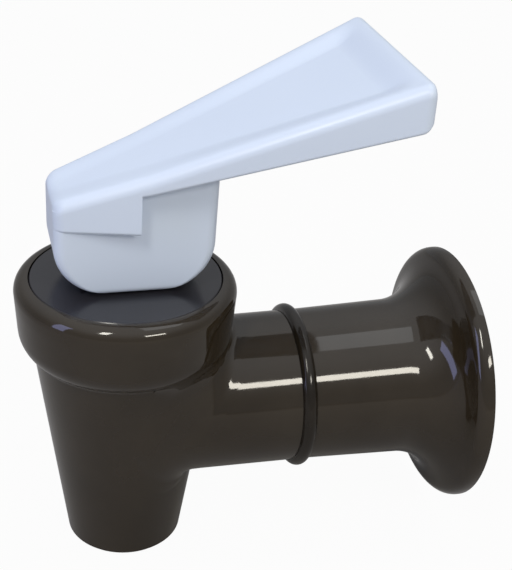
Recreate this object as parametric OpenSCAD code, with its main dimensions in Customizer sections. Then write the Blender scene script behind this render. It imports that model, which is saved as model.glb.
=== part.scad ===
// Beverage dispenser spigot: a self-closing water cooler tap with a paddle lever.
// Origin: centre of the flange's wall face, on the axis of the shank thread.
// +Y points into the wall, +Z is up, and the spout hangs at -Y.

/* [Placement] */
// Distance from the wall face to the axis of the spout
reach = 54.9; // [48:0.1:70]
// Height of the head's top above the axis of the arm
head_top = 22.8; // [22:0.1:27]
// Depth of the spout's lower end below the axis of the arm
spout_drop = 24.6; // [22:0.1:34]

/* [Body] */
// Radius of the head just below its rounded shoulder
head_r = 17; // [16.6:0.1:20]
// Radius of the head's shoulder
shoulder_r = 2.1; // [1:0.1:2.4]
// Height of the head, from its top to the edge where the spout's cone starts
head_h = 12.7; // [11.5:0.1:15]
// Radius of the head's rounded lower edge
head_low_r = 4.7; // [3:0.1:5]
// Draft of the head's side, in degrees
head_draft = 4; // [1:0.5:6]
// Outer radius of the spout's cone where it leaves the head
cone_r = 14.25; // [13.5:0.05:14.8]
// Outer radius of the spout's lower end
spout_r = 9.35; // [9:0.05:10.5]
// Wall of the spout at its lower end
spout_wall = 1.9; // [1.4:0.1:2.2]
// Radius of the arm where it leaves the body
arm_r = 12.2; // [11.5:0.1:12.6]
// Radius that the arm has gained at its joint
arm_gain = 0.25; // [0:0.05:0.5]
// Radius of the throat between the shank thread and the arm
throat_r = 4; // [3.2:0.1:4.4]
// Radius of the water way through the arm
way_r = 5.6; // [4:0.1:6.5]
// Radius of the valve chamber
chamber_r = 8.4; // [8:0.1:9.2]
// Radius of the hole in the valve seat
seat_hole_r = 4; // [3:0.1:4.8]
// Thickness of the wall that carries the valve seat
seat_wall = 2.4; // [1.6:0.1:3]
// Depth of the valve seat's lip below the axis of the arm
seat_drop = 7.6; // [6.6:0.1:9]
// Height of the lip round the valve seat
lip_h = 1.2; // [0.8:0.1:1.6]
// Width of the lip's flat top
lip_w = 0.7; // [0.5:0.1:1]
// Width of the lip's foot
lip_foot = 1.8; // [1.2:0.1:2.4]
// Height of the slope between the bonnet's bore and the valve chamber
chamber_slope = 2.5; // [1.5:0.1:3]
// Chamfer of the spout's mouth
mouth_edge = 0.5; // [0.3:0.1:0.7]
// Radial gap between parts that slip into each other
slip_gap = 0.1; // [0.05:0.05:0.2]

/* [Arm joint] */
// Radius of the fillet between the head's lower edge and the spout
head_fillet = 1; // [0.5:0.1:1.5]
// Largest radius of the fillets between the arm's sides and the body
root_fillet = 5.5; // [3:0.5:6]
// Radius of these fillets at their ends
root_fillet_end = 0.3; // [0.2:0.1:0.5]
// Angle round the arm, from its side, at which the fillets start
root_from = -55; // [-60:1:-40]
// Angle round the arm, from its side, at which the fillets end
root_to = 65; // [50:1:70]
// Distance from the wall face to the middle of the joint ring
joint_back = 27.4; // [23:0.1:30]
// Width of the joint ring
ring_w = 2.4; // [1.6:0.1:3.2]
// Height of the joint ring's bead above the arm
bead_h = 1.05; // [0.5:0.05:1.6]
// Wall of the flange's tube around the arm's tenon
tube_wall = 3.45; // [2.8:0.05:4.2]
// Length of the tenon past the joint ring
tenon_len = 5; // [3:0.1:7]
// Gap past the end of the tenon
end_gap = 0.2; // [0.1:0.05:0.4]
// Chamfer of the tenon's end
tenon_edge = 0.5; // [0.3:0.1:0.8]

/* [Flange] */
// Radius of the flange's rim
flange_r = 21.3; // [20:0.1:26]
// Radius that the tube has gained where its flare starts
tube_gain = 0.5; // [0.2:0.05:1]
// Radius of the hollow flare between the tube and the flange
flare_r = 8; // [6:0.1:9]
// Steepness of the flare at its outer end, in degrees
flare_angle = 75; // [65:1:78]
// Radius of the flange's rounded edge
edge_r = 2.2; // [1.4:0.1:2.6]
// Straight part of the rim that meets the wall
rim_w = 0.4; // [0.2:0.1:1.5]
// Wall of the flange's shell
shell_wall = 2.4; // [1.8:0.1:3]
// Radius of the boss around the shank thread
boss_r = 8.6; // [7.8:0.1:9.6]
// Radius of the hole for the shank thread
thread_r = 5; // [4.5:0.05:5.4]
// Depth of the thread, from the wall face to the washer
thread_depth = 12.8; // [10:0.1:16]
// Chamfer at the mouth of the thread
mouth_chamfer = 0.4; // [0.2:0.1:0.8]
// Depth of the hollow around the boss
pocket_depth = 6; // [3:0.1:6.4]
// Chamfer at the foot of the boss
boss_foot = 0.8; // [0.4:0.1:1.2]
// Thickness of the ribs behind the flange
rib_w = 1.8; // [1.2:0.1:2.6]
// Distance from the wall face down to the ribs
rib_drop = 0.8; // [0.4:0.1:1.6]
// Thickness of the shank washer
washer_h = 1.6; // [1:0.1:2.4]
// Radius that the washer's groove has beyond the thread's hole
washer_groove = 0.5; // [0.3:0.1:0.8]
// Radius of the shank washer's hole
washer_hole_r = 3.4; // [2.6:0.1:3.8]

/* [Bonnet] */
// Radius of the bonnet's flange
bonnet_r = 14.7; // [14:0.1:14.8]
// Thickness of the bonnet's flange
bonnet_h = 2.6; // [2:0.1:3.2]
// Chamfer of the bonnet's rim
bonnet_edge = 0.2; // [0.1:0.05:0.4]
// Radius of the bonnet's skirt
skirt_r = 12.4; // [11.6:0.1:12.8]
// Wall of the bonnet's skirt
skirt_wall = 2; // [1.6:0.1:2.6]
// Length of the bonnet's skirt below its flange
skirt_len = 7.5; // [5:0.1:9]
// Radius of the stem guide under the bonnet
guide_r = 7.2; // [6.6:0.1:8]
// Length of the stem guide below the bonnet's flange
guide_len = 10.6; // [9.6:0.1:11.4]
// Thickness of the bonnet gasket
gasket_h = 1; // [0.6:0.1:1.6]

/* [Valve] */
// Radius of the stem
stem_r = 3.2; // [2.8:0.1:3.6]
// Radial clearance of the stem in the bonnet
stem_gap = 0.06; // [0.03:0.01:0.1]
// Section radius of the stem's seal ring
seal_r = 0.9; // [0.7:0.05:1.1]
// Thickness of the spring washer
spring_washer_h = 0.8; // [0.5:0.1:1.2]
// Play of the spring washer on the stem
washer_play = 0.3; // [0.2:0.05:0.5]
// Width of the spring washer outside the spring
washer_rim = 0.7; // [0.4:0.1:1]
// Radius of the stem's spring collar
collar_r = 6.4; // [6:0.1:7]
// Thickness of the stem's spring collar
collar_h = 1.4; // [1:0.1:2]
// Radius of the seat plug
plug_r = 6.4; // [5.8:0.1:7]
// Height of the seat plug
plug_h = 6.2; // [5.6:0.1:7]
// Chamfer of the seat plug's lower edge
plug_edge = 0.8; // [0.4:0.1:1.2]
// Width of the slope at the seat plug's top
plug_slope_w = 1; // [0.6:0.1:1.4]
// Height of the slope at the seat plug's top
plug_slope_h = 1.6; // [1:0.1:2]
// Thickness of the seat plug under the stem's button
plug_floor = 2; // [1.4:0.1:2.4]
// Radius of the stem's button inside the seat plug
button_r = 3.4; // [3:0.1:4]
// Height of the stem's button
button_h = 1.4; // [1:0.1:2]
// Chamfer of the stem's button
button_edge = 0.4; // [0.2:0.1:0.6]
// Radius of the stem's neck inside the seat plug
neck_r = 2; // [1.6:0.1:2.4]
// Section radius of the spring's wire
wire_r = 0.5; // [0.4:0.05:0.65]
// Radius of the spring's coil, to the middle of the wire
coil_r = 5.1; // [4.8:0.1:5.6]
// Turns of the spring
coil_turns = 5; // [3:0.5:6]

/* [Lever] */
// Gap between the lever's blade and the bonnet when the tap is closed
lever_gap = 0.3; // [0.2:0.05:0.5]
// Radius of the blade's lower corners
cam_r = 7.2; // [6.6:0.1:8]
// Reach of the blade away from the wall
blade_back = 11.2; // [10.6:0.1:12]
// Reach of the blade toward the wall
blade_front = 12.3; // [11.6:0.1:13]
// Width of the blade and of the lever's hub end
blade_w = 12.8; // [12:0.1:14]
// Width of the lever's slot for the stem
slot_w = 6.4; // [6:0.1:6.8]
// Distance from the stem's axis to the lever's free end
lever_len = 39.3; // [34:0.1:46]
// Width of the lever's free end
pad_w = 32.8; // [26:0.1:36]
// Height of the lever's hub end above the bonnet
hub_h = 14.4; // [13.8:0.1:16]
// Slope of the lever's top over the hub, in degrees
hub_slope = 20; // [16:0.5:24]
// Slope of the lever's top over the paddle, in degrees
pad_slope = 22.8; // [18:0.1:27]
// Depth of the lever's side at its free end
side_h = 6.4; // [5.4:0.1:8]
// Depth of the paddle's tray at the free end
tray_depth = 3.2; // [1.5:0.1:3.6]
// Width of the slope from a rail down to the tray's floor
tray_blend = 1.8; // [1.2:0.1:2.6]
// Thickness of the tray's floor
floor_h = 1.9; // [1.4:0.1:2.4]
// Thickness of the lever's plate beside the blade
thin_h = 2.1; // [1.8:0.1:3]
// Depth of the tray over the blade
thin_dish = 0.25; // [0.1:0.05:0.5]
// Distance from the stem's axis to the place where the lever's top turns steeper
kink_u = 2; // [1:0.5:6]
// Distance from the stem's axis to the end of the hub's skirt
skirt_end = 0.7; // [-2:0.1:0.9]
// Height of the skirt's lower edge above the blade's lower edge
skirt_z = 10.8; // [9:0.1:12]
// Width of the rim under the paddle
under_w = 2.6; // [2:0.1:3]
// Width of the slope inside that rim
under_slope = 0.8; // [0.4:0.1:1.2]
// Chamfer of the paddle's lower edge
under_edge = 0.5; // [0.3:0.1:0.8]
// How far the blade's front leans toward the free end
blade_lean = 0.5; // [0:0.1:1]
// Radius of the blade's upright corners
end_r = 1.4; // [0.8:0.1:2]
// Radius of the blade's lower side edges
base_r = 0.9; // [0.5:0.1:1.4]
// Half length of the slot's mouth
slot_half = 7.2; // [6.6:0.1:7.6]
// Thickness of the plastic over the slot
slot_roof = 2.2; // [1.6:0.1:3]
// Depth of the lead-in grooves for the pin
groove_depth = 1; // [0.6:0.1:1.4]
// Width of the lead-in grooves
groove_w = 2.6; // [2:0.1:2.8]
// Radius of the rails beside the tray
rail_r = 1.2; // [0.8:0.1:1.5]
// Gap between the stem's tongue and each cheek of the slot
tongue_gap = 0.3; // [0.2:0.05:0.4]
// Radius of the tongue's round top
tongue_r = 3.6; // [3.2:0.1:4]
// Radius of the pivot pin
pin_r = 1.5; // [1.2:0.1:1.8]
// Depth of the pin's sockets in the blade
socket_depth = 1.9; // [1.4:0.1:2.2]
// Radial clearance of the pin in its sockets
pin_gap = 0.05; // [0.03:0.01:0.1]
// Chamfer of the pin's ends
pin_edge = 0.3; // [0.2:0.05:0.5]

/* [Hidden] */
$fn = 96;
eps = 0.01;
// How far a piece reaches into the wall that it joins
sink = 0.4;
// How far a cutting shape reaches past the face that it opens
past = 1;
black = [0.13, 0.12, 0.11];
rubber = [0.2, 0.2, 0.2];
steel = [0.75, 0.76, 0.78];
silicone = [0.93, 0.93, 0.9];
pale_blue = [0.78, 0.83, 0.92];

// Heights above the axis of the arm
head_low = head_top - head_h;
bonnet_seat = head_top - bonnet_h - gasket_h;
guide_low = head_top - bonnet_h - guide_len;
plug_top = plug_h - seat_drop;
button_low = plug_floor - seat_drop + slip_gap;
collar_top = plug_top + collar_h;
spring_top = guide_low - spring_washer_h;
blade_low = head_top + lever_gap;
pin_z = blade_low + cam_r;

// Fineness of the fillets: facets across them and rows along them
root_steps = 8;
root_rows = 30;

// Distances from the spout's axis along the arm
joint_u = reach - joint_back;
ring_back = joint_u - ring_w / 2;
ring_front = joint_u + ring_w / 2;
tenon_end = ring_front + tenon_len;
thread_end = reach - thread_depth - washer_h;

// Radii of the arm's joint
joint_r = arm_r + arm_gain;
socket_r = joint_r - tube_wall;
tenon_r = socket_r - slip_gap;

// Half section of the body: centres of the head's rounded edges and slope of the spout's cone
shoulder_c = [head_r - shoulder_r, head_top - shoulder_r];
low_c = [
    head_r - (shoulder_c[1] - head_low - head_low_r) * tan(head_draft) - head_low_r,
    head_low + head_low_r];

cone_slope = (cone_r - spout_r) / (head_low + spout_drop);

// Distance from the stem's axis to the foot of the tray's end wall
tray_end = lever_len - rail_r - tray_blend;

// Points on an arc around c, from angle a to angle b
function arc(c, r, a, b, steps) =
    [for (i = [0:steps]) c + r * [cos(a + (b - a) * i / steps), sin(a + (b - a) * i / steps)]];

// Turns a profile with x as radius and y as distance along the arm about the arm's axis
module about_arm() {
    translate([0, -reach, 0]) rotate([-90, 0, 0]) rotate_extrude() children();
}

// Turns a profile about the spout's axis
module about_spout() {
    translate([0, -reach, 0]) rotate_extrude() children();
}

// Half section of the head and the spout's cone
module body_profile() {
    tilt = atan(cone_slope);
    inner = cone_r + head_low_r * cone_slope - low_c[0];
    turn = tilt + acos((inner * cos(tilt) + head_fillet) / (head_low_r + head_fillet));
    fillet_c = low_c + (head_low_r + head_fillet) * [cos(turn), -sin(turn)];
    polygon(concat(
        [[0, head_top]],
        arc(shoulder_c, shoulder_r, 90, 0, 8),
        arc(low_c, head_low_r, -head_draft, -turn, 8),
        arc(fillet_c, head_fillet, 180 - turn, 180 - tilt, 6),
        [[spout_r, mouth_edge - spout_drop],
         [spout_r - mouth_edge, -spout_drop],
         [0, -spout_drop]]));
}

// Half section of the hollow inside the body, from the bonnet's seat to the spout's mouth
module chamber_profile() {
    outlet_r = spout_r - spout_wall;
    seat_floor = -seat_drop - lip_h;
    bore_low = bonnet_seat - skirt_len;
    polygon([
        [0, head_top + past],
        [bonnet_r + slip_gap, head_top + past],
        [bonnet_r + slip_gap, bonnet_seat],
        [skirt_r + slip_gap, bonnet_seat],
        [skirt_r + slip_gap, bore_low],
        [chamber_r, bore_low - chamber_slope],
        [chamber_r, seat_floor],
        [seat_hole_r + lip_foot, seat_floor],
        [seat_hole_r + lip_w, -seat_drop],
        [seat_hole_r, -seat_drop],
        [seat_hole_r, seat_floor - seat_wall],
        [outlet_r, seat_floor - seat_wall],
        [outlet_r, mouth_edge - spout_drop],
        [outlet_r + mouth_edge, -spout_drop - eps],
        [0, -spout_drop - eps]]);
}

// Distance from the spout's axis to the centre of a ball of radius r that touches the body at height
// z, and the direction from the body to the ball, as radius and height
function touch(z, r) =
    let (
        tilt = atan(cone_slope),
        cone = cone_r + (z - head_low) * cone_slope + r / cos(tilt),
        rise = z - low_c[1],
        edge = low_c[0] + sqrt(max(pow(head_low_r + r, 2) - pow(rise, 2), 0)))
    edge > cone && abs(rise) < head_low_r + r
        ? [edge, (edge - low_c[0]) / (head_low_r + r), rise / (head_low_r + r)]
        : [cone, cos(tilt), -sin(tilt)];

// Distance along the arm to that centre, which stands at angle a round the arm
function along(a, out, r) =
    sqrt(max(pow(touch(out * sin(a), r)[0], 2) - pow(out * cos(a), 2), 0));

// Section of the fillet at angle a round the arm: the arc of a ball that rolls on arm and body, with
// its ends just under both surfaces, and a point inside the wall. The ball shrinks toward both ends,
// where the sections sink into the wall.
function root_section(a) =
    let (
        t = (2 * a - root_from - root_to) / (root_to - root_from),
        r = root_fillet_end + (root_fillet - root_fillet_end) * (1 - t * t),
        out = arm_r + r + arm_gain * along(a, arm_r + r, r) / ring_back,
        hit = touch(out * sin(a), r),
        centre = [out * cos(a), along(a, out, r), out * sin(a)],
        to_arm = [-cos(a), 0, -sin(a)],
        to_body = -[hit[1] * centre[0] / hit[0], hit[1] * centre[1] / hit[0], hit[2]],
        spread = acos(to_arm * to_body),
        inward = (to_arm + to_body) / norm(to_arm + to_body),
        base = centre + sink * pow(t, 12) * inward)
    concat(
        [for (i = [0:root_steps])
            let (b = spread * i / root_steps, deep = i == 0 || i == root_steps ? 2 * eps : 0)
            base + (r + deep) * (sin(spread - b) * to_arm + sin(b) * to_body) / sin(spread)],
        [centre + (r / cos(spread / 2) + 3 * sink) * inward]);

// Mean of the points of a section
function middle(s) = [for (i = [0:2]) [for (p = s) 1] * [for (p = s) p[i]] / len(s)];

// Solid through sections that have the same number of points, closed at both ends
module strip(sections) {
    n = len(sections[0]);
    last = n * (len(sections) - 1);
    polyhedron(
        concat([for (s = sections) each s], [middle(sections[0]), middle(sections[len(sections) - 1])]),
        [for (j = [0:n - 1]) let (k = (j + 1) % n) each [
            for (f = [0:n:last - n]) each [[f + j, f + k, f + n + k], [f + j, f + n + k, f + n + j]],
            [last + n, k, j],
            [last + n + 1, last + j, last + k]]]);
}

module body() color(black) difference() {
    union() {
        about_spout() body_profile();
        about_arm() polygon([
            [0, 0],
            [arm_r, 0],
            [joint_r, ring_back],
            [tenon_r, ring_back],
            [tenon_r, tenon_end - tenon_edge],
            [tenon_r - tenon_edge, tenon_end],
            [0, tenon_end]]);
        for (side = [0, 1]) translate([0, -reach, 0]) mirror([side, 0, 0])
            strip([for (i = [0:root_rows]) root_section(root_from + (root_to - root_from) * i / root_rows)]);
    }
    about_spout() chamber_profile();
    translate([0, -reach, 0]) rotate([-90, 0, 0]) cylinder(r = way_r, h = tenon_end + eps);
}

module joint_ring() color(rubber) about_arm() {
    crown = [joint_r + bead_h - ring_w / 2, joint_u];
    polygon(concat([[socket_r, ring_back]], arc(crown, ring_w / 2, -90, 90, 14), [[socket_r, ring_front]]));
}

// The flange piece is a trumpet shell with a threaded boss in the hollow behind it
module shank_flange() color(black) {
    flare_start_r = joint_r + tube_gain;
    turn = flare_r + edge_r;
    rise = flange_r - flare_start_r - turn * (1 - cos(flare_angle));
    slope = rise / sin(flare_angle);
    flare_u = reach - rim_w - turn * sin(flare_angle) - slope * cos(flare_angle);
    flare_c = [flare_start_r + flare_r, flare_u];
    edge_c = [flange_r - edge_r, reach - rim_w];
    rim_bore = flange_r - shell_wall;
    pocket_u = reach - pocket_depth;
    inner_r = flare_r + shell_wall;
    floor_angle = 180 - asin((pocket_u - flare_u) / inner_r);
    about_arm() polygon(concat(
        [[socket_r, ring_front], [joint_r, ring_front]],
        arc(flare_c, flare_r, 180, 180 - flare_angle, 14),
        arc(edge_c, edge_r, -flare_angle, 0, 8),
        [[flange_r, reach], [rim_bore, reach]],
        arc(flare_c, inner_r, 180 - flare_angle, floor_angle, 8),
        [[boss_r + boss_foot, pocket_u],
         [boss_r, pocket_u + boss_foot],
         [boss_r, reach],
         [thread_r + mouth_chamfer, reach],
         [thread_r, reach - mouth_chamfer],
         [thread_r, thread_end + washer_h],
         [thread_r + washer_groove, thread_end + washer_h],
         [thread_r + washer_groove, thread_end],
         [throat_r, thread_end],
         [throat_r, tenon_end + end_gap],
         [socket_r, tenon_end + end_gap]]));
    for (a = [45:90:315])
        translate([0, -reach, 0]) rotate([0, a, 0]) translate([0, 0, -rib_w / 2])
            linear_extrude(rib_w) polygon(concat(
                [[boss_r - sink, reach - rib_drop], [boss_r - sink, pocket_u - sink]],
                arc(flare_c, inner_r - sink, floor_angle, 180 - flare_angle, 8),
                [[rim_bore + sink, reach - rib_drop]]));
}

module shank_washer() color(rubber) about_arm()
    translate([washer_hole_r, thread_end])
        square([thread_r + washer_groove - slip_gap - washer_hole_r, washer_h]);

module bonnet() color(black) about_spout() {
    skirt_low = head_top - bonnet_h - skirt_len;
    pocket_r = stem_r + 2 * seal_r + slip_gap;
    pocket_top = guide_low + 2 * (seal_r + slip_gap);
    polygon([
        [stem_r + stem_gap, head_top],
        [bonnet_r - bonnet_edge, head_top],
        [bonnet_r, head_top - bonnet_edge],
        [bonnet_r, head_top - bonnet_h],
        [skirt_r, head_top - bonnet_h],
        [skirt_r, skirt_low],
        [skirt_r - skirt_wall, skirt_low],
        [skirt_r - skirt_wall, head_top - bonnet_h],
        [guide_r, head_top - bonnet_h],
        [guide_r, guide_low],
        [pocket_r, guide_low],
        [pocket_r, pocket_top],
        [stem_r + stem_gap, pocket_top]]);
}

module bonnet_gasket() color(rubber) about_spout()
    translate([skirt_r + 2 * slip_gap, bonnet_seat])
        square([bonnet_r - skirt_r - 2 * slip_gap, gasket_h]);

module stem_seal() color(rubber) about_spout()
    translate([stem_r + seal_r + slip_gap / 2, guide_low + seal_r + slip_gap]) circle(seal_r);

module spring_washer() color(steel) about_spout() {
    hole_r = stem_r + washer_play;
    translate([hole_r, spring_top])
        square([coil_r + wire_r + washer_rim - hole_r, spring_washer_h]);
}

// A wire along a helix, whose first and last three quarters of a turn lie flat
module return_spring() color(steel) translate([0, -reach, 0]) {
    flat = 0.75;
    sides = 8;
    per_turn = 24;
    count = coil_turns * per_turn;
    low = collar_top + wire_r;
    high = spring_top - wire_r;
    rings = [for (i = [0:count])
        let (
            a = 360 * i / per_turn,
            t = min(max((i / per_turn - flat) / (coil_turns - 2 * flat), 0), 1),
            z = low + (high - low) * t)
        [for (j = [0:sides - 1])
            let (b = 360 * j / sides, r = coil_r + wire_r * cos(b))
            [r * cos(a), r * sin(a), z + wire_r * sin(b)]]];
    points = [for (ring = rings) for (p = ring) p];
    polyhedron(points, concat(
        [[for (j = [0:sides - 1]) j]],
        [for (i = [0:count - 1]) for (j = [0:sides - 1])
            [i * sides + j,
             (i + 1) * sides + j,
             (i + 1) * sides + (j + 1) % sides,
             i * sides + (j + 1) % sides]],
        [[for (j = [sides - 1:-1:0]) count * sides + j]]));
}

module seat_plug() color(silicone) about_spout() {
    base = -seat_drop;
    cavity_top = button_low + button_h + slip_gap;
    polygon([
        [0, base],
        [plug_r - plug_edge, base],
        [plug_r, base + plug_edge],
        [plug_r, plug_top - plug_slope_h],
        [plug_r - plug_slope_w, plug_top],
        [neck_r + slip_gap, plug_top],
        [neck_r + slip_gap, cavity_top],
        [button_r + slip_gap, cavity_top],
        [button_r + slip_gap, base + plug_floor],
        [0, base + plug_floor]]);
}

module stem() color(silicone) translate([0, -reach, 0]) {
    tongue_w = slot_w - 2 * tongue_gap;
    tongue_low = head_top + slip_gap;
    rotate_extrude() polygon([
        [0, button_low],
        [button_r - button_edge, button_low],
        [button_r, button_low + button_edge],
        [button_r, button_low + button_h],
        [neck_r, button_low + button_h],
        [neck_r, plug_top],
        [collar_r, plug_top],
        [collar_r, collar_top],
        [stem_r, collar_top],
        [stem_r, tongue_low],
        [0, tongue_low]]);
    difference() {
        translate([-tongue_w / 2, 0, 0]) rotate([0, 90, 0]) linear_extrude(tongue_w) {
            translate([-pin_z, 0]) circle(tongue_r);
            translate([-pin_z, -tongue_w / 2]) square([pin_z - tongue_low, tongue_w]);
        }
        translate([-tongue_w, 0, pin_z]) rotate([0, 90, 0]) cylinder(r = pin_r, h = 2 * tongue_w);
    }
}

module pivot_pin() color(steel) translate([0, -reach, pin_z]) rotate([0, 90, 0]) {
    half = slot_w / 2 + socket_depth - slip_gap;
    rotate_extrude() polygon([
        [0, -half],
        [pin_r - pin_edge, -half],
        [pin_r, pin_edge - half],
        [pin_r, half - pin_edge],
        [pin_r - pin_edge, half],
        [0, half]]);
}

// Lever: z is the height above the blade's lower edge, and u runs from the stem toward the free end
function top_z(u) = hub_h + (min(u, kink_u) + blade_back) * tan(hub_slope)
    + max(u - kink_u, 0) * tan(pad_slope);
function half_w(u) = blade_w / 2 + (pad_w - blade_w) / 2 * (u + blade_back) / (lever_len + blade_back);
function side_z(u) = top_z(u) - thin_h - (side_h - thin_h) * (u - skirt_end) / (lever_len - skirt_end);
function dish(u) = thin_dish + (tray_depth - thin_dish) * max(u - kink_u, 0) / (tray_end - kink_u);
function hollow(u) = max(top_z(u) - dish(u) - floor_h - side_z(u), 0);

// Section of the lever across u, with its half width w, its top t and its base b, a tray of depth d
// and a hollow of height h beneath
function lever_section(u, w, t, b, d, h) =
    let (
        half = concat(
            [[0, b + h],
             [w - under_w - under_slope, b + h],
             [w - under_w, b],
             [w - under_edge, b],
             [w, b + under_edge]],
            arc([w - rail_r, t - rail_r], rail_r, 0, 90, 6),
            [for (s = [0.2:0.2:1]) [w - rail_r - tray_blend * s, t - d * (1 - cos(180 * s)) / 2]],
            [[0, t - d]]),
        last = len(half) - 1)
    concat(
        [for (p = half) [p[0], u, p[1]]],
        [for (i = [last - 1:-1:1]) [-half[i][0], u, half[i][1]]]);

// Solid through a list of sections that have the same number of points, where a section's first point
// faces the point halfway round it
module loft(sections) {
    n = len(sections[0]);
    m = len(sections);
    first = n * m;
    ends = [for (s = [sections[0], sections[m - 1]]) (s[0] + s[n / 2]) / 2];
    polyhedron(concat([for (s = sections) for (p = s) p], ends), concat(
        [for (j = [0:n - 1]) [(j + 1) % n, j, first]],
        [for (i = [0:m - 2]) for (j = [0:n - 1]) let (k = (j + 1) % n)
            [i * n + j, i * n + k, (i + 1) * n + k, (i + 1) * n + j]],
        [for (j = [0:n - 1]) [(m - 1) * n + j, (m - 1) * n + (j + 1) % n, first + 1]]));
}

// Paddle, hub cap and skirt in one sweep from the hub end to the free end
module paddle() {
    loft(concat(
        [for (a = [90:-22.5:0])
            let (u = end_r * (1 - sin(a)) - blade_back, cut = end_r * (1 - cos(a)))
            lever_section(u, half_w(u) - cut, top_z(u) - cut / 2, skirt_z, thin_dish, 0)],
        [lever_section(skirt_end, half_w(skirt_end), top_z(skirt_end), skirt_z, thin_dish, 0),
         lever_section(
             skirt_end + 0.05, half_w(skirt_end), top_z(skirt_end), side_z(skirt_end), thin_dish, 0)],
        [for (u = [kink_u, (kink_u + tray_end) / 2, tray_end])
            lever_section(u, half_w(u), top_z(u), side_z(u), dish(u), hollow(u))],
        [for (s = [0.25:0.25:1])
            let (u = tray_end + tray_blend * s)
            lever_section(u, half_w(u), top_z(u), side_z(u), tray_depth * (1 + cos(180 * s)) / 2,
                hollow(tray_end) * (1 - s))],
        [for (a = [30:30:90])
            let (u = lever_len - rail_r * (1 - sin(a)), cut = rail_r * (1 - cos(a)))
            lever_section(u, half_w(u) - cut, top_z(u) - cut, side_z(u) + cut, 0, 0)]));
}

// Upright blade under the hub, whose rounded lower corners roll on the bonnet
module blade() {
    back_c = [cam_r - blade_back, cam_r];
    front_c = [blade_front - cam_r, cam_r];
    front = blade_front + blade_lean;
    high = top_z(front);
    intersection() {
        translate([-blade_w / 2, 0, 0]) rotate([90, 0, 90]) linear_extrude(blade_w) polygon(concat(
            arc(back_c, cam_r, 180, 270, 12),
            arc(front_c, cam_r, 270, 360, 12),
            [for (u = [front, kink_u, -blade_back]) [u, top_z(u) - dish(u) - floor_h / 2]]));
        linear_extrude(high) rounded_block(blade_w, blade_back, front, end_r);
        translate([0, front + past, 0]) rotate([90, 0, 0]) linear_extrude(blade_back + front + 2 * past)
            rounded_block(blade_w, 0, high, base_r);
    }
}

// Rectangle of width w from -back to front with its corners rounded
module rounded_block(w, back, front, r) {
    polygon(concat(
        arc([w / 2 - r, r - back], r, -90, 0, 5),
        arc([w / 2 - r, front - r], r, 0, 90, 5),
        arc([r - w / 2, front - r], r, 90, 180, 5),
        arc([r - w / 2, r - back], r, 180, 270, 5)));
}

module lever() color(pale_blue) translate([0, -reach, blade_low]) difference() {
    union() {
        paddle();
        blade();
    }
    translate([-slot_w / 2, 0, 0]) rotate([90, 0, 90]) linear_extrude(slot_w) polygon([
        [-slot_half, -past],
        [slot_half, -past],
        for (u = [slot_half, kink_u, -slot_half]) [u, top_z(u) - dish(u) - slot_roof]]);
    translate([-slot_w / 2 - socket_depth, 0, cam_r]) rotate([0, 90, 0])
        cylinder(r = pin_r + pin_gap, h = slot_w + 2 * socket_depth);
    // Lead-in grooves that the pin's ends slide up when the lever is pressed on
    translate([-slot_w / 2 - groove_depth, -groove_w / 2, -past])
        cube([slot_w + 2 * groove_depth, groove_w, cam_r + past - pin_r / 2]);
}

body();
joint_ring();
shank_flange();
shank_washer();
bonnet();
bonnet_gasket();
stem_seal();
spring_washer();
return_spring();
seat_plug();
stem();
pivot_pin();
lever();
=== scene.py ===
"""Looks of a self-closing beverage dispenser spigot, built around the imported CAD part."""

import math

import bmesh
import bpy
import numpy as np
from mathutils import Matrix, Vector


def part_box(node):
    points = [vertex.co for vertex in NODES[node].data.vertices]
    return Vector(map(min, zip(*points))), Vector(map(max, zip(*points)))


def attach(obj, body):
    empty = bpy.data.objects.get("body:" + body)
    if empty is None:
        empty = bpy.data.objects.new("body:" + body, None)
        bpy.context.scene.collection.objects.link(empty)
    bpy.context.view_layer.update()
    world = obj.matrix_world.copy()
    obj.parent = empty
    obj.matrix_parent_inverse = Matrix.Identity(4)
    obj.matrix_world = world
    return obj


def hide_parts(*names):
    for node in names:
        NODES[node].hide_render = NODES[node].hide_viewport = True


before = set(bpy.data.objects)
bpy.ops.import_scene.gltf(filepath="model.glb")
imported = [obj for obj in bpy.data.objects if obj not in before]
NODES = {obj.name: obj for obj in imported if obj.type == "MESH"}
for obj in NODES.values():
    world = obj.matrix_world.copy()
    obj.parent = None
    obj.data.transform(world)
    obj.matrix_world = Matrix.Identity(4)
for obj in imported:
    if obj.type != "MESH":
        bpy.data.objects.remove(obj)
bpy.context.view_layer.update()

MM = 0.001
SHARP = math.radians(32.0)

# Body, in millimetres from the spout's axis and the arm's axis
CONE_R = 14.25
SPOUT_R = 9.35
SPOUT_DROP = 24.6
HEAD_LOW = 10.1
HEAD_DRAFT = math.tan(math.radians(4.0))
LOW_R = 4.7
LOW_C = (17.0 - 5.9 * HEAD_DRAFT - LOW_R, HEAD_LOW + LOW_R)
ARM_R = 12.2
ARM_GAIN = 0.25 / 26.3
CREASE = 2.2
BORE_R = 5.0
ROOT_MID = 84.0
ROOT_HALF = 61.5
ROOT_END = 145.5
ROOT_WIDTH = 6.4
ROOT_TOP = 2.0

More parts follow.
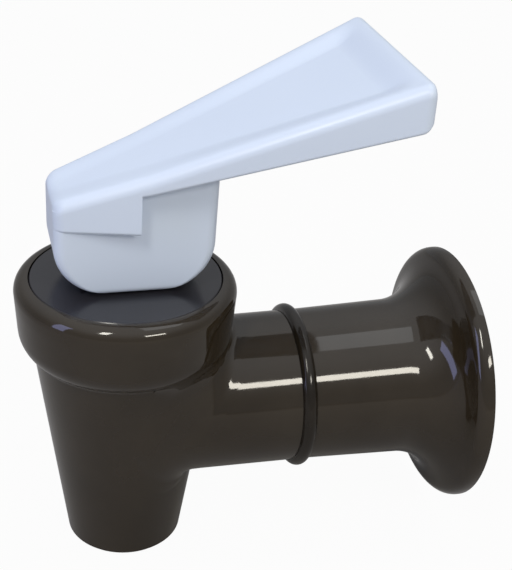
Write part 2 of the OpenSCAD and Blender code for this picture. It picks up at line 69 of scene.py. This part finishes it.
# Lever, in millimetres: u runs from the stem's axis to the free end, z from the blade's lower edge
REACH = 54.9
BLADE_LOW = 23.1
LEVER_LEN = 39.9
PAD_W = 34.4
BLADE_W = 12.78
BLADE_BACK = 11.4
BLADE_FRONT = 12.3
BLADE_LEAN = 0.5
HUB_H = 14.7
HUB_SLOPE = math.tan(math.radians(19.6))
PAD_SLOPE = math.tan(math.radians(22.4))
KINK_U = 2.0
SIDE_H = 7.1
THIN_H = 2.6
SKIRT_END = 0.7
SKIRT_Z = 10.5
RAIL_R = 1.7
TRAY_DEPTH = 1.1
TRAY_BLEND = 4.4
THIN_DISH = 0.3
TRAY_END = LEVER_LEN - RAIL_R - TRAY_BLEND
FLOOR_H = 1.9
UNDER_W = 2.6
UNDER_SLOPE = 0.8
UNDER_R = 0.6
END_R = 1.6
CAM_R = 7.2
BASE_R = 0.9
SLOT_W = 6.4
SLOT_HALF = 7.2
SLOT_ROOF = 2.2
PIN_R = 1.55
SOCKET_DEPTH = 1.9
GROOVE_DEPTH = 1.0
GROOVE_W = 2.6


def arc(centre, radius, start, end, steps):
    """Points on an arc; the angles are in degrees."""
    return [
        (centre[0] + radius * math.cos(math.radians(start + (end - start) * i / steps)),
         centre[1] + radius * math.sin(math.radians(start + (end - start) * i / steps)))
        for i in range(steps + 1)]


def top_z(u):
    return HUB_H + (min(u, KINK_U) + BLADE_BACK) * HUB_SLOPE + max(u - KINK_U, 0.0) * PAD_SLOPE


def half_w(u):
    return (BLADE_W + (PAD_W - BLADE_W) * (u + BLADE_BACK) / (LEVER_LEN + BLADE_BACK)) / 2


def side_z(u):
    return top_z(u) - THIN_H - (SIDE_H - THIN_H) * (u - SKIRT_END) / (LEVER_LEN - SKIRT_END)


def dish(u):
    return THIN_DISH + (TRAY_DEPTH - THIN_DISH) * max(u - KINK_U, 0.0) / (TRAY_END - KINK_U)


def wave(s):
    """Falls from 1 to 0 with a soft start and end while s runs from 0 to 1."""
    return (1 + math.cos(math.pi * s)) / 2


def lever_section(u, w, t, b, d, h):
    """Ring of points across u: half width w, top t, base b, a tray of depth d, a hollow of height h."""
    half = [(0.0, b + h), (w - UNDER_W - UNDER_SLOPE, b + h), (w - UNDER_W, b)]
    half += arc((w - UNDER_R, b + UNDER_R), UNDER_R, -90, 0, 5)
    half += arc((w - RAIL_R, t - RAIL_R), RAIL_R, 0, 90, 14)
    blend = min(TRAY_BLEND, w - RAIL_R - 0.1)
    half += [(w - RAIL_R - blend * i / 16, t - d * (1 - wave(i / 16))) for i in range(1, 17)]
    half.append((0.0, t - d))
    return [(x, u, z) for x, z in half] + [(-x, u, z) for x, z in half[-2:0:-1]]


def loft(rings):
    """Closed mesh through rings that have the same number of points."""
    n = len(rings[0])
    bm = bmesh.new()
    rows = [[bm.verts.new(Vector(p) * MM) for p in ring] for ring in rings]
    for low, high in zip(rows, rows[1:]):
        for j in range(n):
            k = (j + 1) % n
            bm.faces.new((low[j], low[k], high[k], high[j]))
    for row in (rows[0], rows[-1]):
        centre = bm.verts.new(sum((v.co for v in row), Vector()) / n)
        for j in range(n):
            bm.faces.new((row[j], row[(j + 1) % n], centre))
    bmesh.ops.recalc_face_normals(bm, faces=bm.faces)
    return bm


def paddle_mesh():
    """Paddle, hub cap and skirt in one sweep from the hub end to the free end."""
    rings = []
    for a in range(90, -1, -10):
        sine, cosine = math.sin(math.radians(a)), math.cos(math.radians(a))
        u, cut = END_R * (1 - sine) - BLADE_BACK, END_R * (1 - cosine)
        rings.append(lever_section(u, half_w(u) - cut, top_z(u) - cut / 2, SKIRT_Z, THIN_DISH, 0.0))
    for s in np.linspace(0.25, 1.0, 4):
        u = SKIRT_END * s + (END_R - BLADE_BACK) * (1 - s)
        rings.append(lever_section(u, half_w(u), top_z(u), SKIRT_Z, THIN_DISH, 0.0))
    u = SKIRT_END + 0.05
    rings.append(lever_section(u, half_w(u), top_z(u), side_z(u), THIN_DISH, 0.0))
    for u in np.linspace(KINK_U, TRAY_END, 14):
        hollow = max(top_z(u) - dish(u) - FLOOR_H - side_z(u), 0.0)
        rings.append(lever_section(u, half_w(u), top_z(u), side_z(u), dish(u), hollow))
    for i in range(1, 17):
        s = i / 16
        u = TRAY_END + TRAY_BLEND * s
        rings.append(lever_section(u, half_w(u), top_z(u), side_z(u), TRAY_DEPTH * wave(s), hollow * (1 - s)))
    for a in range(9, 91, 9):
        sine, cosine = math.sin(math.radians(a)), math.cos(math.radians(a))
        u, cut = LEVER_LEN - RAIL_R * (1 - sine), RAIL_R * (1 - cosine)
        low = side_z(u) + min(cut, UNDER_R)
        rings.append(lever_section(u, half_w(u) - cut, top_z(u) - cut, low, 0.0, 0.0))
    return loft(rings)


def blade_mesh():
    """Upright blade under the hub, whose rounded lower corners roll on the bonnet."""
    rings = []
    high = top_z(BLADE_FRONT)
    for z in [CAM_R * (1 - math.cos(math.radians(a))) for a in range(0, 91, 6)] + [SKIRT_Z, high]:
        rise = min(z, CAM_R)
        back_in = CAM_R - math.sqrt(CAM_R ** 2 - (CAM_R - rise) ** 2)
        rise = min(z, BASE_R)
        side_in = BASE_R - math.sqrt(BASE_R ** 2 - (BASE_R - rise) ** 2)
        w = BLADE_W / 2 - side_in
        back = -BLADE_BACK + 0.01 + back_in
        front = BLADE_FRONT + BLADE_LEAN * z / high - back_in
        ring = []
        for cx, cy, start in ((w, front, 0), (-w, front, 90), (-w, back, 180), (w, back, 270)):
            sx, sy = math.copysign(END_R, cx), END_R if cy == front else -END_R
            ring += [(x, y, z) for x, y in arc((cx - sx, cy - sy), END_R, start, start + 90, 6)]
        rings.append(ring)
    rings[-1] = [(x, y, top_z(y) - dish(y) - FLOOR_H / 2) for x, y, _ in rings[-1]]
    return loft(rings)


def prism(points, x0, x1):
    """Closed mesh of an outline in u and z, drawn out along x."""
    return loft([[(x0, u, z) for u, z in points], [(x1, u, z) for u, z in points]])


def mesh_object(name, bm, offset=(0.0, 0.0, 0.0)):
    mesh = bpy.data.meshes.new(name)
    bmesh.ops.translate(bm, verts=bm.verts, vec=Vector(offset) * MM)
    bm.to_mesh(mesh)
    bm.free()
    obj = bpy.data.objects.new(name, mesh)
    bpy.context.scene.collection.objects.link(obj)
    return obj


def carve(obj, tool_mesh, operation, offset=(0.0, 0.0, 0.0)):
    """Joins a mesh to an object, or cuts it out, and keeps only the result."""
    tool = mesh_object("tool", tool_mesh, offset)
    step = obj.modifiers.new("step", "BOOLEAN")
    step.operation = operation
    step.solver = "EXACT"
    step.object = tool
    done = bpy.data.meshes.new_from_object(obj.evaluated_get(bpy.context.evaluated_depsgraph_get()))
    obj.modifiers.clear()
    obj.data = done
    bpy.data.objects.remove(tool)


def add_lever(mat):
    """The lever with its soft tray, blade, stem slot, pin sockets and lead-in grooves."""
    place = (0.0, -REACH, BLADE_LOW)
    obj = mesh_object("lever_shell", paddle_mesh(), place)
    carve(obj, blade_mesh(), "UNION", place)
    roof = [(u, top_z(u) - THIN_DISH - SLOT_ROOF) for u in (SLOT_HALF, KINK_U, -SLOT_HALF)]
    slot = [(-SLOT_HALF, -1.0), (SLOT_HALF, -1.0)] + roof
    carve(obj, prism(slot, -SLOT_W / 2, SLOT_W / 2), "DIFFERENCE", place)
    half = SLOT_W / 2 + SOCKET_DEPTH
    carve(obj, prism(arc((0.0, CAM_R), PIN_R, 0, 348.75, 31), -half, half), "DIFFERENCE", place)
    half = SLOT_W / 2 + GROOVE_DEPTH
    side, high = GROOVE_W / 2, CAM_R - PIN_R / 2
    groove = [(-side, -1.0), (side, -1.0), (side, high), (-side, high)]
    carve(obj, prism(groove, -half, half), "DIFFERENCE", place)
    mesh = obj.data
    mesh.polygons.foreach_set("use_smooth", [True] * len(mesh.polygons))
    mesh.set_sharp_from_angle(angle=SHARP)
    # Flat faces keep flat light beside the rounded edges
    even = obj.modifiers.new("even", "WEIGHTED_NORMAL")
    even.keep_sharp = True
    even.weight = 80
    mesh.materials.clear()
    mesh.materials.append(mat)
    obj.name = "lever_shell"
    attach(obj, "lever")
    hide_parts("lever")


def soft_min(a, b, k):
    """Smaller of two distances, blended over the width k."""
    h = np.clip(0.5 + 0.5 * (b - a) / k, 0.0, 1.0)
    return b + (a - b) * h - k * h * (1 - h)


def body_distance(p, crease):
    """Distance outside the head and the spout's cone; p holds x, u and z in millimetres."""
    rho, z = np.hypot(p[..., 0], p[..., 1]), p[..., 2]
    slope = (CONE_R - SPOUT_R) / (HEAD_LOW + SPOUT_DROP)
    cone = (rho - CONE_R - (z - HEAD_LOW) * slope) * math.cos(math.atan(slope))
    low = np.hypot(rho - LOW_C[0], np.minimum(z - LOW_C[1], 0.0)) - LOW_R
    side = (rho - LOW_C[0] - LOW_R - (z - LOW_C[1]) * HEAD_DRAFT) * (z > LOW_C[1])
    return soft_min(cone, np.where(z > LOW_C[1], side, low), crease)


def arm_distance(p):
    return np.hypot(p[..., 0], p[..., 2]) - ARM_R - ARM_GAIN * p[..., 1]


def slope_of(f, p):
    """Gradient of f at the points p."""
    step = 1e-4 * np.eye(3)
    return np.stack([(f(p + s) - f(p - s)) / 2e-4 for s in step], -1)


def evened(values, reach=18):
    """Running mean with soft ends over the rows."""
    weights = np.hanning(2 * reach + 3)[1:-1]
    padded = np.concatenate([np.repeat(values[:1], reach, 0), values, np.repeat(values[-1:], reach, 0)])
    columns = [np.convolve(padded[:, i], weights / weights.sum(), "valid") for i in range(values.shape[1])]
    return np.stack(columns, -1)


def add_root_blend(mat):
    """Soft run of the arm into the head and the spout, as a thin skin over the body's fillets."""
    rows, columns, thick = 241, 40, 0.5
    turn = np.linspace(-ROOT_END, ROOT_END, rows)
    a = np.radians(90.0 - turn)
    full = np.clip(1 - ((np.abs(turn) - ROOT_MID) / ROOT_HALF) ** 2, 0.0, 1.0)
    over = np.clip((ROOT_MID - np.abs(turn)) / ROOT_HALF, 0.0, 1.0)
    width = 0.15 + np.hypot(ROOT_WIDTH * full ** 0.9, ROOT_TOP * over)
    # Where the bare arm meets the bare body
    near, far = np.full(rows, 1.0), np.full(rows, 22.0)
    for _ in range(40):
        u = (near + far) / 2
        radius = ARM_R + ARM_GAIN * u
        inside = body_distance(np.stack([radius * np.cos(a), u, radius * np.sin(a)], -1), CREASE) < 0
        near, far = np.where(inside, u, near), np.where(inside, far, u)
    foot = np.stack([radius * np.cos(a), u, radius * np.sin(a)], -1)
    radial = np.stack([np.cos(a), 0 * a, np.sin(a)], -1)
    normal = slope_of(lambda q: body_distance(q, CREASE), foot)
    away = evened(radial - (radial * normal).sum(-1, keepdims=True) * normal)
    away /= np.linalg.norm(away, axis=-1, keepdims=True)
    angle = evened(np.arccos(np.clip((radial * normal).sum(-1, keepdims=True), -1, 1)))[:, 0]
    s = np.linspace(-1.0, 1.0, columns)
    reach = (width * 1.25 + 1.3)[:, None, None]
    along = np.array([0.0, 1.0, 0.0])
    # The skin is short where the arm's side runs almost level into the spout
    short = np.clip(foot[:, 1] / 7.5, 0.5, 1.0)[:, None, None]
    p = foot[:, None] + reach * np.where(
        s[None, :, None] < 0, -s[None, :, None] * along, short * s[None, :, None] * away[:, None])
    # Both blends run out before the skin's edge, so the edge sinks into the body
    soft = np.maximum(width * np.sin(angle), 0.05)[:, None] * (1.02 - np.abs(s) ** 3)[None, :]
    crease = CREASE * (1 - 0.6 * np.maximum(s, 0.0) ** 2)[None, :] + (1 - np.maximum(s, 0.0))[None, :] * full[:, None]
    edge = np.clip((1 - np.abs(s)) / 0.35, 0, 1)[None, :] * np.clip((ROOT_END - np.abs(turn)) / 7.0, 0, 1)[:, None]
    level = 0.09 * edge - 0.05
    blended = lambda q: soft_min(arm_distance(q), body_distance(q, crease), soft)
    for _ in range(12):
        slope = slope_of(blended, p)
        p = p - ((blended(p) - level) / np.maximum((slope ** 2).sum(-1), 0.2))[..., None] * slope
    slope = slope_of(blended, p)
    under = p - thick * slope / np.linalg.norm(slope, axis=-1, keepdims=True)
    bm = bmesh.new()
    top, low = [
        [[bm.verts.new((x * MM, (u - REACH) * MM, z * MM)) for x, u, z in row] for row in grid]
        for grid in (p, under)]
    for i in range(rows - 1):
        for j in range(columns - 1):
            bm.faces.new((top[i][j], top[i][j + 1], top[i + 1][j + 1], top[i + 1][j]))
            bm.faces.new((low[i][j], low[i + 1][j], low[i + 1][j + 1], low[i][j + 1]))
    rim = [(i, 0) for i in range(rows)] + [(rows - 1, j) for j in range(1, columns)]
    rim += [(i, columns - 1) for i in range(rows - 2, -1, -1)] + [(0, j) for j in range(columns - 2, 0, -1)]
    for (i, j), (k, m) in zip(rim, rim[1:] + rim[:1]):
        bm.faces.new((top[i][j], top[k][m], low[k][m], low[i][j]))
    bmesh.ops.recalc_face_normals(bm, faces=bm.faces)
    obj = mesh_object("arm_root_blend", bm)
    obj.data.polygons.foreach_set("use_smooth", [True] * len(obj.data.polygons))
    obj.data.set_sharp_from_angle(angle=SHARP)
    obj.data.materials.append(mat)
    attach(obj, "tap")


def add_thread(mat):
    """Helical ridge of the shank thread inside the wall end's bore."""
    pitch, steps = 1.27, 72
    start, turns = -1.1, 8.6
    half, crest, sunk = 0.52, 0.42, 0.12
    profile = [(-half, -sunk), (-0.14, crest), (0.14, crest), (half, -sunk)]
    bm = bmesh.new()
    rings = []
    count = int(steps * turns)
    for i in range(count + 1):
        a = 2 * math.pi * i / steps
        # Ridge fades into the wall at both ends of the thread
        fade = min(1.0, i / 40.0, (count - i) / 40.0)
        y = start - pitch * i / steps
        ring = []
        for offset, height in profile:
            radius = BORE_R - (height if height < 0 else height * fade - sunk * (1 - fade))
            ring.append(bm.verts.new((radius * math.cos(a) * MM, (y + offset) * MM, radius * math.sin(a) * MM)))
        rings.append(ring)
    for a, b in zip(rings, rings[1:]):
        for k in range(4):
            m = (k + 1) % 4
            bm.faces.new((a[k], b[k], b[m], a[m]))
    bm.faces.new(rings[0])
    bm.faces.new(rings[-1])
    bmesh.ops.recalc_face_normals(bm, faces=bm.faces)
    obj = mesh_object("shank_thread", bm)
    obj.data.polygons.foreach_set("use_smooth", [True] * len(obj.data.polygons))
    obj.data.set_sharp_from_angle(angle=SHARP)
    obj.data.materials.append(mat)
    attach(obj, "tap")


# Camera, fitted to the photograph: 512 x 570 pixels, the long side is the sensor's width
def add_camera():
    right = Vector((0.2470, 0.9672, 0.0604))
    up = Vector((-0.4807, 0.0682, 0.8742))
    back = Vector((0.8414, -0.2449, 0.4818))
    data = bpy.data.cameras.new("camera")
    data.lens = 75.28
    data.sensor_width = 36.0
    data.clip_start = 0.01
    data.clip_end = 20.0
    cam = bpy.data.objects.new("camera", data)
    bpy.context.scene.collection.objects.link(cam)
    turn = Matrix((right, up, back)).transposed()
    cam.matrix_world = Matrix.Translation(Vector((158.37, -80.37, 110.09)) * MM) @ turn.to_4x4()
    bpy.context.scene.camera = cam


def material(name):
    """A new node material and its Principled shader."""
    mat = bpy.data.materials.new(name)
    mat.use_nodes = True
    return mat, mat.node_tree, mat.node_tree.nodes["Principled BSDF"]


def noise(tree, scale, detail=3.0, rough=0.5):
    """Noise in the part's own coordinates; scale is in features per metre."""
    coord = tree.nodes.new("ShaderNodeTexCoord")
    node = tree.nodes.new("ShaderNodeTexNoise")
    node.inputs["Scale"].default_value = scale
    node.inputs["Detail"].default_value = detail
    node.inputs["Roughness"].default_value = rough
    tree.links.new(coord.outputs["Object"], node.inputs["Vector"])
    return node.outputs["Fac"]


def ramp(tree, source, stops):
    """Colour ramp through (position, colour) stops."""
    node = tree.nodes.new("ShaderNodeValToRGB")
    elements = node.color_ramp.elements
    while len(elements) < len(stops):
        elements.new(0.5)
    for element, (position, colour) in zip(elements, stops):
        element.position = position
        element.color = (*colour, 1.0)
    tree.links.new(source, node.inputs["Fac"])
    return node.outputs["Color"]


def span(tree, source, low, high):
    """source, which runs from 0.3 to 0.7, mapped to low to high."""
    node = tree.nodes.new("ShaderNodeMapRange")
    node.inputs["From Min"].default_value = 0.3
    node.inputs["From Max"].default_value = 0.7
    node.inputs["To Min"].default_value = low
    node.inputs["To Max"].default_value = high
    tree.links.new(source, node.inputs["Value"])
    return node.outputs["Result"]


def bump(tree, shader, source, height):
    node = tree.nodes.new("ShaderNodeBump")
    node.inputs["Strength"].default_value = 1.0
    node.inputs["Distance"].default_value = height
    tree.links.new(source, node.inputs["Height"])
    tree.links.new(node.outputs["Normal"], shader.inputs["Normal"])


def black_plastic(name, dark, light, low, high):
    mat, tree, shader = material(name)
    tint = ramp(tree, noise(tree, 90.0), [(0.35, dark), (0.65, light)])
    tree.links.new(tint, shader.inputs["Base Color"])
    tree.links.new(span(tree, noise(tree, 260.0, 5.0), low, high), shader.inputs["Roughness"])
    bump(tree, shader, noise(tree, 420.0, 2.0), 0.000006)
    return mat


def lever_plastic():
    mat, tree, shader = material("pale_blue_plastic")
    tint = ramp(tree, noise(tree, 40.0, 1.0), [(0.3, (0.638, 0.718, 0.85)), (0.7, (0.658, 0.738, 0.87))])
    tree.links.new(tint, shader.inputs["Base Color"])
    tree.links.new(span(tree, noise(tree, 60.0, 1.0), 0.29, 0.35), shader.inputs["Roughness"])
    return mat


def rubber():
    mat, tree, shader = material("black_rubber")
    tint = ramp(tree, noise(tree, 200.0), [(0.35, (0.0120, 0.0088, 0.0056)), (0.65, (0.0165, 0.0125, 0.0082))])
    tree.links.new(tint, shader.inputs["Base Color"])
    tree.links.new(span(tree, noise(tree, 400.0), 0.09, 0.15), shader.inputs["Roughness"])
    shader.inputs["Specular IOR Level"].default_value = 0.34
    return mat


def steel():
    mat, tree, shader = material("spring_steel")
    tint = ramp(tree, noise(tree, 500.0), [(0.35, (0.50, 0.50, 0.51)), (0.65, (0.62, 0.62, 0.63))])
    tree.links.new(tint, shader.inputs["Base Color"])
    shader.inputs["Metallic"].default_value = 1.0
    tree.links.new(span(tree, noise(tree, 1500.0), 0.22, 0.36), shader.inputs["Roughness"])
    return mat


def milky(name, tint_a, tint_b, rough):
    mat, tree, shader = material(name)
    tint = ramp(tree, noise(tree, 250.0), [(0.35, tint_a), (0.65, tint_b)])
    tree.links.new(tint, shader.inputs["Base Color"])
    tree.links.new(span(tree, noise(tree, 600.0), rough, rough + 0.1), shader.inputs["Roughness"])
    shader.inputs["Subsurface Weight"].default_value = 0.3
    shader.inputs["Subsurface Scale"].default_value = 0.0015
    bump(tree, shader, noise(tree, 900.0), 0.00001)
    return mat


def smooth_nodes():
    """Node group that shades a mesh smooth, apart from edges sharper than SHARP."""
    group = bpy.data.node_groups.new("smooth_shading", "GeometryNodeTree")
    group.interface.new_socket("Geometry", in_out="INPUT", socket_type="NodeSocketGeometry")
    group.interface.new_socket("Geometry", in_out="OUTPUT", socket_type="NodeSocketGeometry")
    new = group.nodes.new
    source, target = new("NodeGroupInput"), new("NodeGroupOutput")
    plain = new("GeometryNodeRemoveAttribute")
    plain.inputs["Name"].default_value = "custom_normal"
    merge = new("GeometryNodeMergeByDistance")
    merge.inputs["Distance"].default_value = 1e-6
    faces = new("GeometryNodeSetShadeSmooth")
    faces.domain = "FACE"
    faces.inputs["Shade Smooth"].default_value = True
    edges = new("GeometryNodeSetShadeSmooth")
    edges.domain = "EDGE"
    angle = new("GeometryNodeInputMeshEdgeAngle")
    blunt = new("FunctionNodeCompare")
    blunt.data_type = "FLOAT"
    blunt.operation = "LESS_THAN"
    blunt.inputs["B"].default_value = SHARP
    link = group.links.new
    link(source.outputs[0], plain.inputs["Geometry"])
    link(plain.outputs[0], merge.inputs["Geometry"])
    link(merge.outputs[0], faces.inputs["Geometry"])
    link(faces.outputs[0], edges.inputs["Geometry"])
    link(angle.outputs["Unsigned Angle"], blunt.inputs["A"])
    link(blunt.outputs[0], edges.inputs["Shade Smooth"])
    link(edges.outputs[0], target.inputs[0])
    return group


def dress(name, mat, group=None):
    """Gives a CAD node its material and, with a node group, smooth shading."""
    obj = NODES[name]
    obj.data.materials.clear()
    obj.data.materials.append(mat)
    if group:
        obj.modifiers.new("smooth_shading", "NODES").node_group = group


def area_light(name, azimuth, elevation, distance, size, radiance, colour):
    """A soft rectangular lamp that faces the part; azimuth 0 stands at -Y and 90 at +X."""
    a, e = math.radians(azimuth), math.radians(elevation)
    away = Vector((math.sin(a) * math.cos(e), -math.cos(a) * math.cos(e), math.sin(e)))
    data = bpy.data.lights.new(name, "AREA")
    data.shape = "RECTANGLE"
    data.size, data.size_y = size
    data.energy = radiance * math.pi * size[0] * size[1]
    data.color = colour
    lamp = bpy.data.objects.new(name, data)
    bpy.context.scene.collection.objects.link(lamp)
    target = Vector((0.0, -0.03, 0.01))
    lamp.location = target + away * distance
    lamp.rotation_mode = "QUATERNION"
    lamp.rotation_quaternion = (-away).to_track_quat("-Z", "Y")


def add_stage():
    """Plain pale floor, and a world that the camera sees as white."""
    mesh = bpy.data.meshes.new("floor")
    half, low = 1.2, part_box("body")[0][2]
    corners = [(-half, -half, low), (half, -half, low), (half, half, low), (-half, half, low)]
    mesh.from_pydata(corners, [], [(0, 1, 2, 3)])
    floor = bpy.data.objects.new("floor", mesh)
    bpy.context.scene.collection.objects.link(floor)
    mat = bpy.data.materials.new("pale_floor")
    mat.use_nodes = True
    tree = mat.node_tree
    tree.nodes.clear()
    diffuse = tree.nodes.new("ShaderNodeBsdfDiffuse")
    diffuse.inputs["Color"].default_value = (0.43, 0.415, 0.40, 1.0)
    white = tree.nodes.new("ShaderNodeEmission")
    white.inputs["Strength"].default_value = 1.0
    path = tree.nodes.new("ShaderNodeLightPath")
    share = tree.nodes.new("ShaderNodeMath")
    share.operation = "MULTIPLY"
    share.inputs[1].default_value = 0.96
    mix = tree.nodes.new("ShaderNodeMixShader")
    out = tree.nodes.new("ShaderNodeOutputMaterial")
    tree.links.new(path.outputs["Is Camera Ray"], share.inputs[0])
    tree.links.new(share.outputs[0], mix.inputs["Fac"])
    tree.links.new(diffuse.outputs[0], mix.inputs[1])
    tree.links.new(white.outputs[0], mix.inputs[2])
    tree.links.new(mix.outputs[0], out.inputs["Surface"])
    mesh.materials.append(mat)

    world = bpy.data.worlds.new("studio")
    bpy.context.scene.world = world
    world.use_nodes = True
    tree = world.node_tree
    tree.nodes.clear()
    soft = tree.nodes.new("ShaderNodeBackground")
    soft.inputs["Color"].default_value = (0.92, 0.95, 1.0, 1.0)
    coord = tree.nodes.new("ShaderNodeTexCoord")
    split = tree.nodes.new("ShaderNodeSeparateXYZ")
    sky = tree.nodes.new("ShaderNodeMapRange")
    sky.interpolation_type = "SMOOTHSTEP"
    sky.inputs["From Min"].default_value = 0.2
    sky.inputs["To Min"].default_value = 0.36
    sky.inputs["To Max"].default_value = 0.95
    tree.links.new(coord.outputs["Generated"], split.inputs[0])
    tree.links.new(split.outputs["Z"], sky.inputs["Value"])
    tree.links.new(sky.outputs["Result"], soft.inputs["Strength"])
    white = tree.nodes.new("ShaderNodeBackground")
    white.inputs["Strength"].default_value = 1.0
    path = tree.nodes.new("ShaderNodeLightPath")
    mix = tree.nodes.new("ShaderNodeMixShader")
    out = tree.nodes.new("ShaderNodeOutputWorld")
    tree.links.new(path.outputs["Is Camera Ray"], mix.inputs["Fac"])
    tree.links.new(soft.outputs[0], mix.inputs[1])
    tree.links.new(white.outputs[0], mix.inputs[2])
    tree.links.new(mix.outputs[0], out.inputs["Surface"])


add_camera()
add_stage()
bpy.context.scene.view_settings.view_transform = "Standard"

black = black_plastic("black_gloss_plastic", (0.0215, 0.0150, 0.0080), (0.0285, 0.0208, 0.0122), 0.045, 0.085)
# The bonnet's satin roughness is real; the bluish tint in its base colour is painted reflection of the pale-blue
# lever above it
disc_black_blue_reflection = black_plastic("black_satin_plastic_blue_reflection", (0.0150, 0.0138, 0.0165), (0.0195, 0.0185, 0.0225), 0.16, 0.24)
ring_black = rubber()
metal = steel()
smooth = smooth_nodes()
dress("body", black, smooth)
dress("shank_flange", black, smooth)
dress("bonnet", disc_black_blue_reflection, smooth)
dress("joint_ring", ring_black, smooth)
dress("shank_washer", ring_black)
dress("bonnet_gasket", ring_black)
dress("stem_seal", ring_black)
dress("spring_washer", metal)
dress("return_spring", metal, smooth)
dress("pivot_pin", metal)
dress("seat_plug", milky("white_silicone", (0.80, 0.80, 0.77), (0.86, 0.86, 0.83), 0.35), smooth)
dress("stem", milky("natural_plastic", (0.78, 0.76, 0.70), (0.84, 0.82, 0.76), 0.3), smooth)
pale = lever_plastic()
dress("lever", pale)
add_lever(pale)
add_root_blend(black)
add_thread(black)

area_light("key_lamp", 108, 35, 0.45, (0.14, 0.06), 18.0, (1.0, 0.95, 0.84))
area_light("left_lamp", 52, 52, 0.60, (0.07, 0.17), 20.0, (1.0, 0.97, 0.88))
area_light("blue_panel", 14, 20, 0.60, (0.13, 0.40), 3.6, (0.52, 0.56, 1.0))
area_light("top_panel", 185, 73, 0.60, (0.26, 0.24), 1.15, (0.95, 0.98, 1.0))
